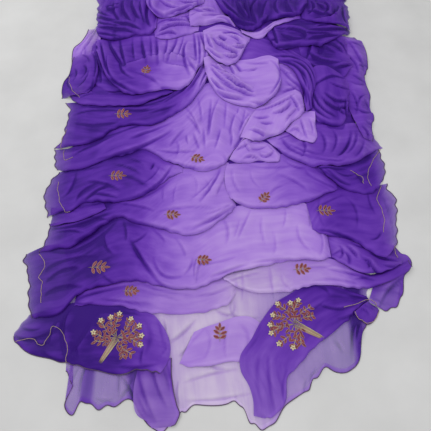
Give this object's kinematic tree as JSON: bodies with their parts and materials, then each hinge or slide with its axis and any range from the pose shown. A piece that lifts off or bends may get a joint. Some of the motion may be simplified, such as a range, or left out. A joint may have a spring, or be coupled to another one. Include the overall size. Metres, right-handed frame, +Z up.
{
  "type": "georgette saree",
  "caption": "Purple and lavender ombre georgette saree laid gathered, pallu end spread, gold thread edge and sprigs.",
  "frame": {"origin": "middle of the heap's box, on the surface that it lies on", "axes": "+X across the heap to the viewer's right, +Y from the pallu end along the heap, +Z up"},
  "size_m": [1.1744, 1.7802, 0.0686],
  "materials": {
    "georgette_deep": "crepe, deep purple dye near the selvedges",
    "georgette_mid": "crepe, purple where the dye fades",
    "georgette_light": "crepe, lavender middle of the cloth",
    "georgette_sheer": "a single sheer layer",
    "edge_thread": "gold-bronze overlock thread, slight sheen",
    "embroidery_thread": "rust, cream and olive-gold embroidery"
  },
  "bodies": {
    "root": {"heap_core": "georgette_deep", "hem_sheet": "georgette_sheer", "leg_left": "georgette_mid", "mid_panel": "georgette_light", "corner_left": "georgette_deep", "corner_right": "georgette_deep", "tri_right": "georgette_deep", "side_right_low": "georgette_light", "swag_low_left": "georgette_light", "swag_low_right": "georgette_light", "crumple_low_right": "georgette_mid", "swag_h": "georgette_mid", "panel_right": "georgette_deep", "swag_g": "georgette_mid", "fold_left_b": "georgette_deep", "swag_f": "georgette_deep", "swag_i": "georgette_mid", "fold_k2": "georgette_deep", "swag_e": "georgette_light", "crumple_j": "georgette_light", "swag_k": "georgette_mid", "side_right_mid": "georgette_mid", "dark_back_right": "georgette_deep", "dark_loop": "georgette_deep", "wedge_mid": "georgette_light", "light_wedge": "georgette_light", "light_band": "georgette_light", "dark_river": "georgette_deep", "swag_d": "georgette_deep", "fold_left_a": "georgette_deep", "side_left_sheer": "georgette_light", "fold_left_c": "georgette_deep", "lobe_left": "georgette_deep", "swag_c": "georgette_deep", "pleats_top": "georgette_mid", "light_fall": "georgette_light", "rosette_low": "georgette_light", "rosette_high": "georgette_light", "roll_mid": "georgette_light", "tier_right": "georgette_deep", "light_strip": "georgette_light", "bunch_right": "georgette_deep", "top_left_bunch": "georgette_deep", "top_mid_bulge": "georgette_light", "top_right_bunch": "georgette_deep", "top_end": "georgette_mid"}
  },
  "joints": []
}
